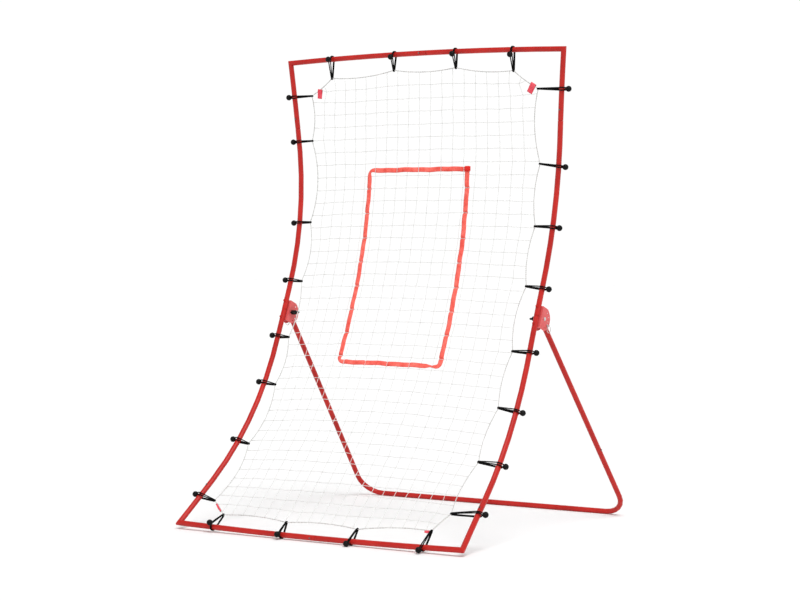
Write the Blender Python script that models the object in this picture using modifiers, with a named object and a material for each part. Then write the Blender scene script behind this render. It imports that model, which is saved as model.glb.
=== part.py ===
"""Pitching target net: a curved tube frame, a rebound net on ball bungees and a folding rear stand.

Metres, +Z up. The thrower stands at -Y and the rear stand folds at +Y.
The origin is the middle of the ground plan, on the ground.
"""
import math

import bmesh
import bpy
from mathutils import Matrix, Vector

# ---- Driving dimensions -------------------------------------------------------------------------
TUBE_R = 0.010              # outer radius of every frame tube
WALL = 0.0012               # tube wall
SWAGE_R = 0.0082            # outer radius of a reduced tube end, which slides into the next tube
HALF_WIDTH = 0.6055         # centre plane to the side tube at the corners
RAIL_PULL = 0.047           # the net pulls each side rail inwards by this at mid height
TOP_RISE = 0.0125           # the top bar springs up in the middle
CORNER_LIFT = 0.008         # the bottom corners spring up, so the bottom bar rests on its middle
GROUND_GAP = 0.0049         # bungee cord under the bottom bar

# Side profile of a rail: straight, bend, straight, bend, straight, from the bottom corner up
RAIL_LEAN = math.radians(50.7)
RAIL_BEND_R = 1.24
STRAIGHT_LOW = 0.22
ARC_LOW = 0.62
STRAIGHT_MID = 0.26
ARC_HIGH = 0.56
RAIL_LENGTH = 1.968

REAR_Y = 1.2124             # rear bar behind the bottom bar, centre to centre
FOOT_BEND_R = 0.085
FRONT_TO_ORIGIN = 0.5920    # the origin lies this far behind the bottom bar's centre line

# Tube joints, as distances along each tube
SWAGE_LENGTH = 0.078
SEAM_GAP = 0.0004           # between a tube end and the next tube's shoulder
SHOULDER = 0.0020           # length over which a tube narrows to its reduced end
TOP_SEAM_X = 0.022
TOP_BUTTON_X = -0.006
BOTTOM_SEAM_X = 0.009
BOTTOM_BUTTON_X = -0.014
REAR_SEAM_X = 0.004
REAR_BUTTON_X = -0.022
RAIL_LOW_SEAM = 0.225
RAIL_LOW_BUTTON = 0.190
RAIL_MID_SEAM = 0.985
RAIL_TOP_SEAM = 1.712
RAIL_TOP_BUTTON = 1.750
LEG_SEAM = 0.704
LEG_BUTTON = 0.640
SHAFT_R = 0.003             # snap buttons, bolts and lock pins
HOLE_R = 0.00316            # clears a shaft by 0.05 mm across the hole's flats
BUTTON_TOP = 0.0125
LEAF_TOP = 0.0042           # top of the button's leaf spring, from the tube's centre
LEAF = 0.0008
LEAF_HALF_W = 0.0036
LEAF_HEEL = 0.0050          # the leaf runs this far past the button on one side,
LEAF_REACH = 0.0220         # and this far on the other
THROUGH = 0.06              # half length of a cutter that runs right through its piece

# Stand bracket, in its own axes: X across, T up along the rail, N away from the rail
BRACKET_S = RAIL_MID_SEAM   # middle of the bracket, along the rail
PIVOT_N = 0.033             # pivot behind the rail's centre line
BRACKET_HALF_W = 0.0145
CHEEK = 0.002
CHEEK_R = 0.043
BRACKET_HALF_T = 0.041
HOLE_CIRCLE_R = 0.032
LOCK_HOLES = (-60, -30, 0, 30, 60)
LOCK_ANGLE = -30            # the hole in use, which is the leg's own angle
BOLT_T = 0.033              # bracket bolts above and below the pivot
LEG_OVERRUN = 0.012         # leg tube beyond its pivot
CLEAR = 0.0003              # between two parts that lie against each other
BOLT_HEAD_R = 0.0055        # head and nut of a bracket bolt
BOLT_HEAD = 0.0036
NUT = 0.0034
BOLT_TAIL = 0.0010          # bolt past its nut
PIVOT_RIM_R = 0.0068        # head of a pivot bolt: a rim and a dome on it
PIVOT_RIM = 0.0018
PIVOT_DOME_R = 0.0048
PIVOT_HEAD = 0.0036
PIVOT_BOLT_END = 0.0290     # inner end of a pivot bolt, from the middle of its bracket
KNOB_R = 0.0085
KNOB = 0.0175
WING_HALF_L = 0.0230
WING_HALF_W = 0.0040
WING_START = 0.0060         # the wings lie between these heights above the cheek
WING_END = 0.0205
WING_ROUND = 0.0035
PIN_COLLAR_R = 0.0050
PIN_COLLAR = 0.0025
PIN_TAIL = 0.0025           # pin past its ring
RING_R = 0.013
RING_WIRE_R = 0.0011
RING_X = BRACKET_HALF_W + 0.0075

# Net
LEFT_HOOKS = (0.14, 0.42, 0.68, 0.875, 1.105, 1.34, 1.66, 1.835)
RIGHT_HOOKS = (0.165, 0.39, 0.615, 0.845, 1.09, 1.32, 1.545, 1.825)
TOP_HOOKS = (-0.408, -0.122, 0.150, 0.394)
BOTTOM_HOOKS = (-0.448, -0.144, 0.154, 0.449)
# Bungee tips on the net's border: across, and along the rails from the bottom corners
LEFT_TIPS = ((-0.517, 0.123), (-0.521, 0.410), (-0.511, 0.675), (-0.508, 0.872),
             (-0.509, 1.103), (-0.514, 1.342), (-0.518, 1.662), (-0.511, 1.837))
RIGHT_TIPS = ((0.488, 0.158), (0.490, 0.399), (0.490, 0.626), (0.490, 0.847),
              (0.492, 1.097), (0.491, 1.325), (0.497, 1.555), (0.496, 1.829))
TOP_TIPS = ((-0.412, 1.902), (-0.126, 1.921), (0.149, 1.920), (0.395, 1.899))
BOTTOM_TIPS = ((-0.437, 0.057), (-0.149, 0.049), (0.156, 0.048), (0.449, 0.072))
NET_HALF_WIDTH = 0.503      # half of the width over which the net bellies
NET_CENTRE_X = -0.011
SCALLOP_SIDE = 0.075        # inward bow of the border between two hooks, per length of span
SCALLOP_END = 0.040
SCALLOP_CORNER = 0.030
NET_BELLY = 0.035           # the middle of the net stands this far in front of the rails
BORDER_R = 0.0025
NET_EDGE_GAP = 0.0110
NET_THICKNESS = 0.002
BUNGEE_R = 0.002
BALL_R = 0.011
BALL_OUT = 0.028            # ball centre from the tube's centre
LOOP_R = 0.0130             # cord centre from the tube's centre where it wraps the tube
TIP_R = 0.0062              # cord centre from the border cord's centre
BALL_FLANK = 0.004          # each strand enters the ball this far off its middle
CORD_MEETS = 60             # degrees between a strand's flank of the ball and where it meets the tube
CORD_LEAVES = 93            # degrees round the tube where a strand leaves it for the tip
WRAP_STEP = 26              # most degrees between two points of a cord round the tube
TIP_TURN = (100, 140, 180, 220, 260)    # degrees of the cord's points round the border cord
TAG_HALF = (0.013, 0.006, 0.0035)       # half of a corner tag: along the border, across it, thick
# Degrees by which each ball stands round the tube, from its outer side towards the front
TOP_SWINGS = (90, 108, 108, 128)
BOTTOM_SWINGS = (84, 55, 30, 30)
SIDE_SWING = 0

RIBBON_X = (-0.2295, 0.2000)
RIBBON_S = (0.786, 1.549)
RIBBON_W = 0.019
RIBBON_THICKNESS = 0.0012
RIBBON_GAP = 0.0034         # clears the flats of the net, which is drawn in straight cells

SIDES = (("left", -1), ("right", 1))


# ---- Scene and materials ------------------------------------------------------------------------
def clear_scene():
    for obj in list(bpy.data.objects):
        bpy.data.objects.remove(obj, do_unlink=True)


def new_collection(name):
    collection = bpy.data.collections.new(name)
    bpy.context.scene.collection.children.link(collection)
    return collection


clear_scene()
PARTS = new_collection("Pitching_Target_Net")
CUTTERS = new_collection("Cutters")


def material(name, color, roughness, metallic=0.0):
    """A plain Principled material; each node gets a copy of its own."""
    made = bpy.data.materials.new(name)
    made.use_nodes = True
    shader = made.node_tree.nodes["Principled BSDF"]
    shader.inputs["Base Color"].default_value = (*color, 1.0)
    shader.inputs["Roughness"].default_value = roughness
    shader.inputs["Metallic"].default_value = metallic
    return made


FINISHES = {
    "powder_coat": ((0.50, 0.035, 0.025), 0.38, 0.0),
    "bracket_coat": ((0.60, 0.09, 0.08), 0.42, 0.0),
    "zinc": ((0.62, 0.62, 0.60), 0.35, 1.0),
    "black_plastic": ((0.012, 0.012, 0.012), 0.45, 0.0),
    "black_rubber": ((0.010, 0.010, 0.010), 0.60, 0.0),
    "net_cord": ((0.86, 0.86, 0.84), 0.80, 0.0),
    "ribbon": ((0.88, 0.13, 0.09), 0.65, 0.0),
}


def finish_node(obj, name, finish):
    """Name a finished object, give it its own material and put it with the parts."""
    obj.name = name
    obj.data.name = name
    color, roughness, metallic = FINISHES[finish]
    obj.data.materials.clear()
    obj.data.materials.append(material(name + "_" + finish, color, roughness, metallic))
    for collection in list(obj.users_collection):
        collection.objects.unlink(obj)
    PARTS.objects.link(obj)
    obj.data.shade_smooth()
    obj.data.set_sharp_from_angle(angle=math.radians(50))
    return obj


def make_cutter(obj):
    for collection in list(obj.users_collection):
        collection.objects.unlink(obj)
    CUTTERS.objects.link(obj)
    obj.hide_render = True
    obj.display_type = "WIRE"
    return obj


def boolean(obj, other, operation):
    modifier = obj.modifiers.new(operation.lower(), "BOOLEAN")
    modifier.operation = operation
    modifier.solver = "EXACT"
    modifier.object = make_cutter(other)
    return obj


# ---- Primitive shapes ---------------------------------------------------------------------------
def aim_z(direction, hint=Vector((0, 0, 1))):
    """Rotation that takes local +Z to direction, with local +Y as near to hint as it can be."""
    z_axis = direction.normalized()
    if abs(z_axis.dot(hint)) > 0.99:
        hint = Vector((0, 1, 0))
    x_axis = hint.cross(z_axis).normalized()
    y_axis = z_axis.cross(x_axis)
    return Matrix((x_axis, y_axis, z_axis)).transposed()


def place(obj, origin, rotation):
    """Turn the mesh into rotation's axes and put the object's origin at origin."""
    obj.data.transform(rotation.to_4x4())
    obj.location = origin
    return obj


def cylinder(origin, direction, radius, start, end, sides=12):
    """A round bar along direction, from start to end as measured from origin."""
    bpy.ops.mesh.primitive_cylinder_add(vertices=sides, radius=radius, depth=end - start)
    obj = bpy.context.object
    obj.data.transform(Matrix.Translation((0, 0, (start + end) / 2)))
    return place(obj, origin, aim_z(direction))


def block(origin, rotation, low, high):
    """A box between two corners given in rotation's axes."""
    bpy.ops.mesh.primitive_cube_add(size=1.0)
    obj = bpy.context.object
    size = Vector(high) - Vector(low)
    obj.data.transform(Matrix.Diagonal((*size, 1.0)))
    obj.data.transform(Matrix.Translation((Vector(low) + Vector(high)) / 2))
    return place(obj, origin, rotation)


def bore(obj, centre, direction, start=-THROUGH):
    """A shaft's hole along direction, right through the piece unless start says where it begins."""
    boolean(obj, cylinder(centre, direction, HOLE_R, start, THROUGH), "DIFFERENCE")


def sweep(points, radius, resolution, cyclic=False, radii=None, caps=True):
    """A round tube along points, as a mesh object with its origin at the world origin."""
    curve = bpy.data.curves.new("sweep", "CURVE")
    curve.dimensions = "3D"
    curve.bevel_depth = radius
    curve.bevel_resolution = resolution
    curve.use_fill_caps = caps and not cyclic
    spline = curve.splines.new("POLY")
    spline.points.add(len(points) - 1)
    for index, point in enumerate(points):
        spline.points[index].co = (*point, 1.0)
        spline.points[index].radius = radii[index] / radius if radii else 1.0
    spline.use_cyclic_u = cyclic
    return curve_to_mesh(curve, "sweep")


def curve_to_mesh(curve, name):
    """The curve's shape as a welded mesh object; the curve object is removed."""
    guide = bpy.data.objects.new(name, curve)
    bpy.context.scene.collection.objects.link(guide)
    bpy.context.view_layer.update()
    evaluated = guide.evaluated_get(bpy.context.evaluated_depsgraph_get())
    mesh = bpy.data.meshes.new_from_object(evaluated)
    bpy.data.objects.remove(guide, do_unlink=True)
    weld(mesh)
    obj = bpy.data.objects.new(name, mesh)
    bpy.context.scene.collection.objects.link(obj)
    return obj


def weld(mesh):
    edit = bmesh.new()
    edit.from_mesh(mesh)
    bmesh.ops.remove_doubles(edit, verts=edit.verts, dist=0.00001)
    bmesh.ops.recalc_face_normals(edit, faces=edit.faces)
    edit.to_mesh(mesh)
    edit.free()


def hollow_tube(points, radii):
    """An open-ended tube with a wall of WALL, along points."""
    obj = sweep(points, TUBE_R, 4, radii=radii, caps=False)
    wall = obj.modifiers.new("wall", "SOLIDIFY")
    wall.thickness = WALL
    wall.offset = -1.0
    return obj


# ---- Rail geometry ------------------------------------------------------------------------------
def rail_profile(s):
    """Position (y, z) and lean from the vertical, at length s along a rail's side profile."""
    y = -FRONT_TO_ORIGIN
    z = TUBE_R + GROUND_GAP
    lean = RAIL_LEAN
    pieces = ((STRAIGHT_LOW, 0.0), (ARC_LOW, 1 / RAIL_BEND_R), (STRAIGHT_MID, 0.0),
              (ARC_HIGH, 1 / RAIL_BEND_R), (RAIL_LENGTH, 0.0))
    left = s
    for length, curvature in pieces:
        run = min(left, length)
        if curvature:
            turned = lean - run * curvature
            y += (math.cos(turned) - math.cos(lean)) / curvature
            z += (math.sin(lean) - math.sin(turned)) / curvature
            lean = turned
        else:
            y += run * math.sin(lean)
            z += run * math.cos(lean)
        left -= run
        if left <= 0:
            break
    return y, z + CORNER_LIFT * (1 - s / RAIL_LENGTH), lean


def rail_point(side, s):
    y, z, _ = rail_profile(s)
    share = s / RAIL_LENGTH
    return Vector((side * (HALF_WIDTH - RAIL_PULL * 4 * share * (1 - share)), y, z))


def front_normal(s):
    """Unit normal of the rail's profile, on its hollow side: towards the thrower."""
    _, _, lean = rail_profile(s)
    return Vector((0, -math.cos(lean), math.sin(lean)))


def top_bar_point(x):
    y, z, _ = rail_profile(RAIL_LENGTH)
    return Vector((x, y, z + TOP_RISE * (1 - (x / HALF_WIDTH) ** 2)))


def bottom_bar_point(x):
    y, z, _ = rail_profile(0.0)
    return Vector((x, y, z - CORNER_LIFT * (1 - (x / HALF_WIDTH) ** 2)))


def spread(start, end, count):
    return [start + (end - start) * index / count for index in range(count + 1)]


def fillet(before, corner, after, radius, steps):
    """Points of an arc that rounds the corner between two straight runs."""
    inward = (before - corner).normalized()
    onward = (after - corner).normalized()
    half = inward.angle(onward) / 2
    reach = radius / math.tan(half)
    centre = corner + (inward + onward).normalized() * (radius / math.sin(half))
    start = corner + inward * reach - centre
    finish = corner + onward * reach - centre
    total = start.angle(finish)
    axis = start.cross(finish).normalized()
    return [centre + Matrix.Rotation(total * step / steps, 3, axis) @ start
            for step in range(steps + 1)]


# ---- Frame tubes --------------------------------------------------------------------------------
def tube_node(name, path, start_swage=(), end_swage=()):
    """A frame tube along path; each swage lists the points of a reduced end, from its seam out."""
    points = list(start_swage)[::-1] + list(path) + list(end_swage)
    radii = [SWAGE_R] * len(start_swage) + [TUBE_R] * len(path) + [SWAGE_R] * len(end_swage)
    return finish_node(hollow_tube(points, radii), name, "powder_coat")


def swage_points(place_at, seam, direction):
    """Points of a reduced end past a seam; direction is +1 or -1 along place_at's parameter."""
    offsets = (-SEAM_GAP, SWAGE_LENGTH / 2, SWAGE_LENGTH)
    return [place_at(seam + direction * offset) for offset in offsets]


def bar_end(bar_point, seam, side):
    """Where half a bar ends at its middle joint, and the reduced end that only the right half has."""
    if side < 0:
        return seam, ()
    return seam + SEAM_GAP + SHOULDER, swage_points(bar_point, seam, -1)


def mitre(mesh, corner, before, after):
    """Stretch the ring of points at a sharp corner, so that both tubes keep their width up to it.
    The directions before and after run from the corner along the two tubes."""
    split = (before + after).normalized()
    square = (before - after).normalized()
    stretch = 1 / math.sin(before.angle(after) / 2)
    for vert in mesh.vertices:
        offset = vert.co - corner
        if offset.length < 2 * TUBE_R and abs(offset.dot(square)) < WALL:
            vert.co += split * (offset.dot(split) * (stretch - 1))


def corner_tube(name, side, rail_seam, rail_end, bar_point, bar_seam):
    """Stub of a side rail, mitred corner and half of a bar, as one tube."""
    end, reduced = bar_end(bar_point, bar_seam, side)
    stub = [rail_point(side, s) for s in spread(rail_seam, rail_end, 3)]
    bar = [bar_point(x) for x in spread(side * HALF_WIDTH, end, 5)]
    obj = tube_node(name, stub[:-1] + bar, end_swage=reduced)
    mitre(obj.data, bar[0], (stub[-2] - bar[0]).normalized(), (bar[1] - bar[0]).normalized())
    return obj


def bolt_centre(side, step):
    """Where a bracket bolt crosses the rail's centre line: step is +1 above the pivot, -1 below it."""
    return rail_point(side, BRACKET_S) + ALONG * (step * BOLT_T)


def lower_rail(name, side):
    """Lower half of a side rail, reduced at both ends; its upper end runs inside the bracket joint."""
    def place_at(s):
        return rail_point(side, s)
    low = RAIL_LOW_SEAM + SEAM_GAP + SHOULDER
    high = RAIL_MID_SEAM - SEAM_GAP - SHOULDER
    path = [place_at(s) for s in spread(low, high, 8)]
    obj = tube_node(name, path, swage_points(place_at, RAIL_LOW_SEAM, -1),
                    swage_points(place_at, RAIL_MID_SEAM, 1))
    bore(obj, bolt_centre(side, -1), REAR)
    bore(obj, bolt_centre(side, 1), REAR)
    return obj


def upper_rail(name, side):
    """Upper half of a side rail, reduced at its top end."""
    def place_at(s):
        return rail_point(side, s)
    path = [place_at(s) for s in spread(RAIL_MID_SEAM, RAIL_TOP_SEAM - SEAM_GAP - SHOULDER, 8)]
    obj = tube_node(name, path, end_swage=swage_points(place_at, RAIL_TOP_SEAM, 1))
    bore(obj, bolt_centre(side, 1), REAR)
    return obj


# ---- Stand --------------------------------------------------------------------------------------
def bracket_axes():
    """Columns: X across, Y to the rear, Z up along the rail."""
    _, _, lean = rail_profile(BRACKET_S)
    rear = Vector((0, math.cos(lean), -math.sin(lean)))
    up = Vector((0, math.sin(lean), math.cos(lean)))
    return Matrix((Vector((1, 0, 0)), rear, up)).transposed()


AXES = bracket_axes()
REAR = AXES.col[1].copy()
ALONG = AXES.col[2].copy()
ACROSS = Vector((1, 0, 0))


def pivot_point(side):
    return rail_point(side, BRACKET_S) + REAR * PIVOT_N


def rear_bar_point(x):
    return Vector((x, REAR_Y - FRONT_TO_ORIGIN, TUBE_R))


def leg_point(side, distance):
    pivot = pivot_point(side)
    return pivot + (rear_bar_point(side * HALF_WIDTH) - pivot).normalized() * distance


def lock_point(side, angle):
    """Centre of a lock hole, at angle above the square to the rail."""
    turn = math.radians(angle)
    return pivot_point(side) + (REAR * math.cos(turn) + ALONG * math.sin(turn)) * HOLE_CIRCLE_R


def move_origin(obj, point):
    obj.data.transform(Matrix.Translation(-point))
    obj.location = point


def leg(name, side):
    obj = tube_node(name, [leg_point(side, d) for d in (-LEG_OVERRUN, LEG_SEAM)])
    move_origin(obj, pivot_point(side))
    bore(obj, pivot_point(side), ACROSS)
    bore(obj, lock_point(side, LOCK_ANGLE), ACROSS)
    return obj


def foot(name, side):
    """Lower end of a leg, rounded bend and half of the rear bar."""
    def place_at(distance):
        return leg_point(side, distance)
    end_x, reduced = bar_end(rear_bar_point, REAR_SEAM_X, side)
    start = place_at(LEG_SEAM + SEAM_GAP + SHOULDER)
    end = rear_bar_point(end_x)
    bend = fillet(start, rear_bar_point(side * HALF_WIDTH), end, FOOT_BEND_R, 6)
    obj = tube_node(name, [start] + bend + [end], swage_points(place_at, LEG_SEAM, -1), reduced)
    move_origin(obj, pivot_point(side))
    return obj


def bracket(name, side):
    """U channel with D-shaped cheeks; its web lies against the back of the rail."""
    pivot = pivot_point(side)
    web_n = TUBE_R + CLEAR - PIVOT_N
    half_arc = math.asin(BRACKET_HALF_T / CHEEK_R)
    outline = [(web_n, BRACKET_HALF_T)]
    outline += [(CHEEK_R * math.cos(a), CHEEK_R * math.sin(a)) for a in spread(half_arc, -half_arc, 10)]
    outline.append((web_n, -BRACKET_HALF_T))
    curve = bpy.data.curves.new(name, "CURVE")
    curve.dimensions = "2D"
    curve.fill_mode = "BOTH"
    curve.extrude = BRACKET_HALF_W
    spline = curve.splines.new("POLY")
    spline.points.add(len(outline) - 1)
    for index, (n, t) in enumerate(outline):
        spline.points[index].co = (n, t, 0.0, 1.0)
    spline.use_cyclic_u = True
    obj = curve_to_mesh(curve, name)
    place(obj, pivot, Matrix((REAR, ALONG, REAR.cross(ALONG))).transposed())
    inner = BRACKET_HALF_W - CHEEK
    gap = block(pivot, AXES, (-inner, web_n + CHEEK, -THROUGH), (inner, THROUGH, THROUGH))
    boolean(obj, gap, "DIFFERENCE")
    bore(obj, pivot, ACROSS)
    for angle in LOCK_HOLES:
        bore(obj, lock_point(side, angle), ACROSS)
    for step in (-1, 1):
        bore(obj, bolt_centre(side, step), REAR)
    return finish_node(obj, name, "bracket_coat")


def bracket_bolt(name, side, step):
    """Bolt through web and rail, with its nut run up in front of the rail."""
    centre = bolt_centre(side, step)
    back = TUBE_R + CHEEK + 2 * CLEAR
    front = -TUBE_R - CLEAR
    obj = cylinder(centre, REAR, SHAFT_R, front - NUT - BOLT_TAIL, back + BOLT_HEAD / 2)
    boolean(obj, cylinder(centre, REAR, BOLT_HEAD_R, back, back + BOLT_HEAD), "UNION")
    boolean(obj, cylinder(centre, REAR, BOLT_HEAD_R, front - NUT, front, sides=6), "UNION")
    return finish_node(obj, name, "powder_coat")


def pivot_bolt(name, side):
    """Round-headed bolt from the outer cheek through the leg and the inner cheek into the knob."""
    pivot = pivot_point(side)
    out = Vector((side, 0, 0))
    face = BRACKET_HALF_W + CLEAR
    obj = cylinder(pivot, out, SHAFT_R, -PIVOT_BOLT_END, face + PIVOT_RIM / 2)
    boolean(obj, cylinder(pivot, out, PIVOT_RIM_R, face, face + PIVOT_RIM), "UNION")
    boolean(obj, cylinder(pivot, out, PIVOT_DOME_R, face + PIVOT_RIM / 2, face + PIVOT_HEAD), "UNION")
    return finish_node(obj, name, "zinc")


def wing_knob(name, side):
    """Black knob with two wings, turning on the inner end of the pivot bolt."""
    pivot = pivot_point(side)
    inwards = Vector((-side, 0, 0))
    face = BRACKET_HALF_W + CLEAR
    obj = cylinder(pivot, inwards, KNOB_R, face, face + KNOB, sides=14)
    wings = block(pivot, aim_z(inwards), (-WING_HALF_L, -WING_HALF_W, face + WING_START),
                  (WING_HALF_L, WING_HALF_W, face + WING_END))
    bevel = wings.modifiers.new("round", "BEVEL")
    bevel.width = WING_ROUND
    bevel.segments = 2
    boolean(obj, wings, "UNION")
    bore(obj, pivot, inwards)
    return finish_node(obj, name, "black_plastic")


def lock_pin(name, side):
    """Pull pin with a wire ring. Its shank fills the outer cheek's hole and ends short of the leg,
    so it doesn't lock the stand."""
    centre = lock_point(side, LOCK_ANGLE)
    out = Vector((side, 0, 0))
    face = BRACKET_HALF_W + CLEAR
    obj = cylinder(centre, out, SHAFT_R, BRACKET_HALF_W - CHEEK, RING_X + PIN_TAIL)
    boolean(obj, cylinder(centre, out, PIN_COLLAR_R, face, face + PIN_COLLAR), "UNION")
    hang = centre + out * RING_X - Vector((0, 0, RING_R))
    turns = [math.tau * step / 12 for step in range(12)]
    ring = sweep([hang + Vector((0, math.sin(a), math.cos(a))) * RING_R for a in turns],
                 RING_WIRE_R, 1, cyclic=True)
    boolean(obj, ring, "UNION")
    return finish_node(obj, name, "zinc")


# ---- Snap buttons -------------------------------------------------------------------------------
def snap_button(name, centre, along, outward, tubes):
    """Spring button inside a reduced tube end, showing through a hole in both tubes."""
    along = along.normalized()
    outward = (outward - along * outward.dot(along)).normalized()
    for tube in tubes:
        bore(tube, centre, outward, SWAGE_R / 2)
    obj = cylinder(centre, outward, SHAFT_R, LEAF_TOP - LEAF / 2, BUTTON_TOP)
    tilt = Matrix((along.cross(outward), along, outward)).transposed()
    leaf = block(centre, tilt, (-LEAF_HALF_W, -LEAF_HEEL, LEAF_TOP - LEAF),
                 (LEAF_HALF_W, LEAF_REACH, LEAF_TOP))
    boolean(obj, leaf, "UNION")
    return finish_node(obj, name, "zinc")


# ---- Net ----------------------------------------------------------------------------------------
def net_surface(x, s):
    """A point of the net, by its distance from the centre plane and its length along the rail."""
    y, z, _ = rail_profile(s)
    across = min(1.0, abs(x - NET_CENTRE_X) / NET_HALF_WIDTH)
    belly = NET_BELLY * (1 - across ** 2) * math.sin(math.pi * s / RAIL_LENGTH)
    return Vector((x, y, z)) + front_normal(s) * belly


def inward_normal(before, point, after):
    """Unit normal of an anticlockwise outline at a point, which halves a sharp corner."""
    along = (after - point).normalized() - (before - point).normalized()
    return Vector((-along.y, along.x)).normalized()


def border_outline(segments, inset=0.0):
    """Closed outline (x, s) of the net: the tips joined by scallops, moved inwards by inset."""
    sides = (BOTTOM_TIPS, RIGHT_TIPS, TOP_TIPS[::-1], LEFT_TIPS[::-1])
    bows = (SCALLOP_END, SCALLOP_SIDE, SCALLOP_END, SCALLOP_SIDE)
    tips = [Vector(tip) for tips_of_side in sides for tip in tips_of_side]
    bow_of = []
    for tips_of_side, bow in zip(sides, bows):
        bow_of += [bow] * (len(tips_of_side) - 1) + [SCALLOP_CORNER]
    outline = []
    for index, start in enumerate(tips):
        chord = tips[(index + 1) % len(tips)] - start
        inward = Vector((-chord.y, chord.x))
        for step in range(segments):
            share = step / segments
            outline.append(start + chord * share + inward * (bow_of[index] * 4 * share * (1 - share)))
    return [point + inward_normal(outline[index - 1], point, outline[(index + 1) % len(outline)]) * inset
            for index, point in enumerate(outline)]


def pull_direction(tip):
    """Direction in the net's surface that halves the border's corner at a tip, away from the net."""
    outline = border_outline(2)
    nearest = min(range(len(outline)), key=lambda i: (outline[i] - Vector(tip)).length)
    inward = inward_normal(outline[nearest - 1], outline[nearest], outline[(nearest + 1) % len(outline)])
    _, _, lean = rail_profile(tip[1])
    return -inward.x * ACROSS - inward.y * Vector((0, math.sin(lean), math.cos(lean)))


def border_cord(name):
    """The net's edge cord, with a folded fabric tag sewn round it at each corner."""
    obj = sweep([net_surface(p.x, p.y) for p in border_outline(2)], BORDER_R, 1, cyclic=True)
    corners = ((LEFT_TIPS[-1], TOP_TIPS[0]), (RIGHT_TIPS[-1], TOP_TIPS[-1]),
               (LEFT_TIPS[0], BOTTOM_TIPS[0]), (RIGHT_TIPS[0], BOTTOM_TIPS[-1]))
    for from_side, from_end in corners:
        start = net_surface(*from_side)
        end = net_surface(*from_end)
        chord = (end - start).normalized()
        face = front_normal((from_side[1] + from_end[1]) / 2)
        face = (face - chord * face.dot(chord)).normalized()
        turn = Matrix((chord, face.cross(chord), face)).transposed()
        tag = block((start + end) / 2, turn, -Vector(TAG_HALF), TAG_HALF)
        boolean(obj, tag, "UNION")
    return finish_node(obj, name, "net_cord")


def sheet_object(name, rows, thickness, finish, keep=lambda row, column: True):
    """A closed sheet of even thickness over the cells of a grid of points."""
    edit = bmesh.new()
    grid = [[edit.verts.new(point) for point in row] for row in rows]
    for row in range(len(grid) - 1):
        for column in range(len(grid[0]) - 1):
            if keep(row, column):
                edit.faces.new((grid[row][column], grid[row][column + 1],
                                grid[row + 1][column + 1], grid[row + 1][column]))
    loose = [vert for vert in edit.verts if not vert.link_faces]
    bmesh.ops.delete(edit, geom=loose, context="VERTS")
    mesh = bpy.data.meshes.new(name)
    edit.to_mesh(mesh)
    edit.free()
    obj = bpy.data.objects.new(name, mesh)
    bpy.context.scene.collection.objects.link(obj)
    sheet = obj.modifiers.new("sheet", "SOLIDIFY")
    sheet.thickness = thickness
    sheet.offset = 0.0
    return finish_node(obj, name, finish)


def net_panel(name):
    """The knotted mesh as a thin curved sheet: a Coons patch inside the scalloped border."""
    outline = border_outline(2, NET_EDGE_GAP)
    across = 2 * len(BOTTOM_HOOKS)
    upright = 2 * len(RIGHT_HOOKS)
    bottom = outline[-1:] + outline[:across]
    right = outline[across - 1:across + upright]
    top = outline[across + upright - 1:2 * across + upright][::-1]
    left = outline[2 * across + upright - 1:][::-1]
    rows = []
    for j in range(upright + 1):
        v = j / upright
        row = []
        for i in range(across + 1):
            u = i / across
            ruled = bottom[i] * (1 - v) + top[i] * v + left[j] * (1 - u) + right[j] * u
            low = bottom[0] * (1 - u) + bottom[-1] * u
            high = top[0] * (1 - u) + top[-1] * u
            point = ruled - low * (1 - v) - high * v
            row.append(net_surface(point.x, point.y))
        rows.append(row)
    return sheet_object(name, rows, NET_THICKNESS, "net_cord")


def strike_zone(name):
    """The ribbon that marks the strike zone, as one closed rectangle in front of the net."""
    half = RIBBON_W / 2
    lift = NET_THICKNESS / 2 + RIBBON_THICKNESS / 2 + RIBBON_GAP
    columns = [RIBBON_X[0] - half] + spread(RIBBON_X[0] + half, RIBBON_X[1] - half, 4) + [RIBBON_X[1] + half]
    levels = [RIBBON_S[0] - half] + spread(RIBBON_S[0] + half, RIBBON_S[1] - half, 7) + [RIBBON_S[1] + half]
    rows = [[net_surface(x, s) + front_normal(s) * lift for x in columns] for s in levels]
    last_row = len(levels) - 2
    last_column = len(columns) - 2
    return sheet_object(name, rows, RIBBON_THICKNESS, "ribbon",
                        lambda row, column: row in (0, last_row) or column in (0, last_column))


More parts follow.
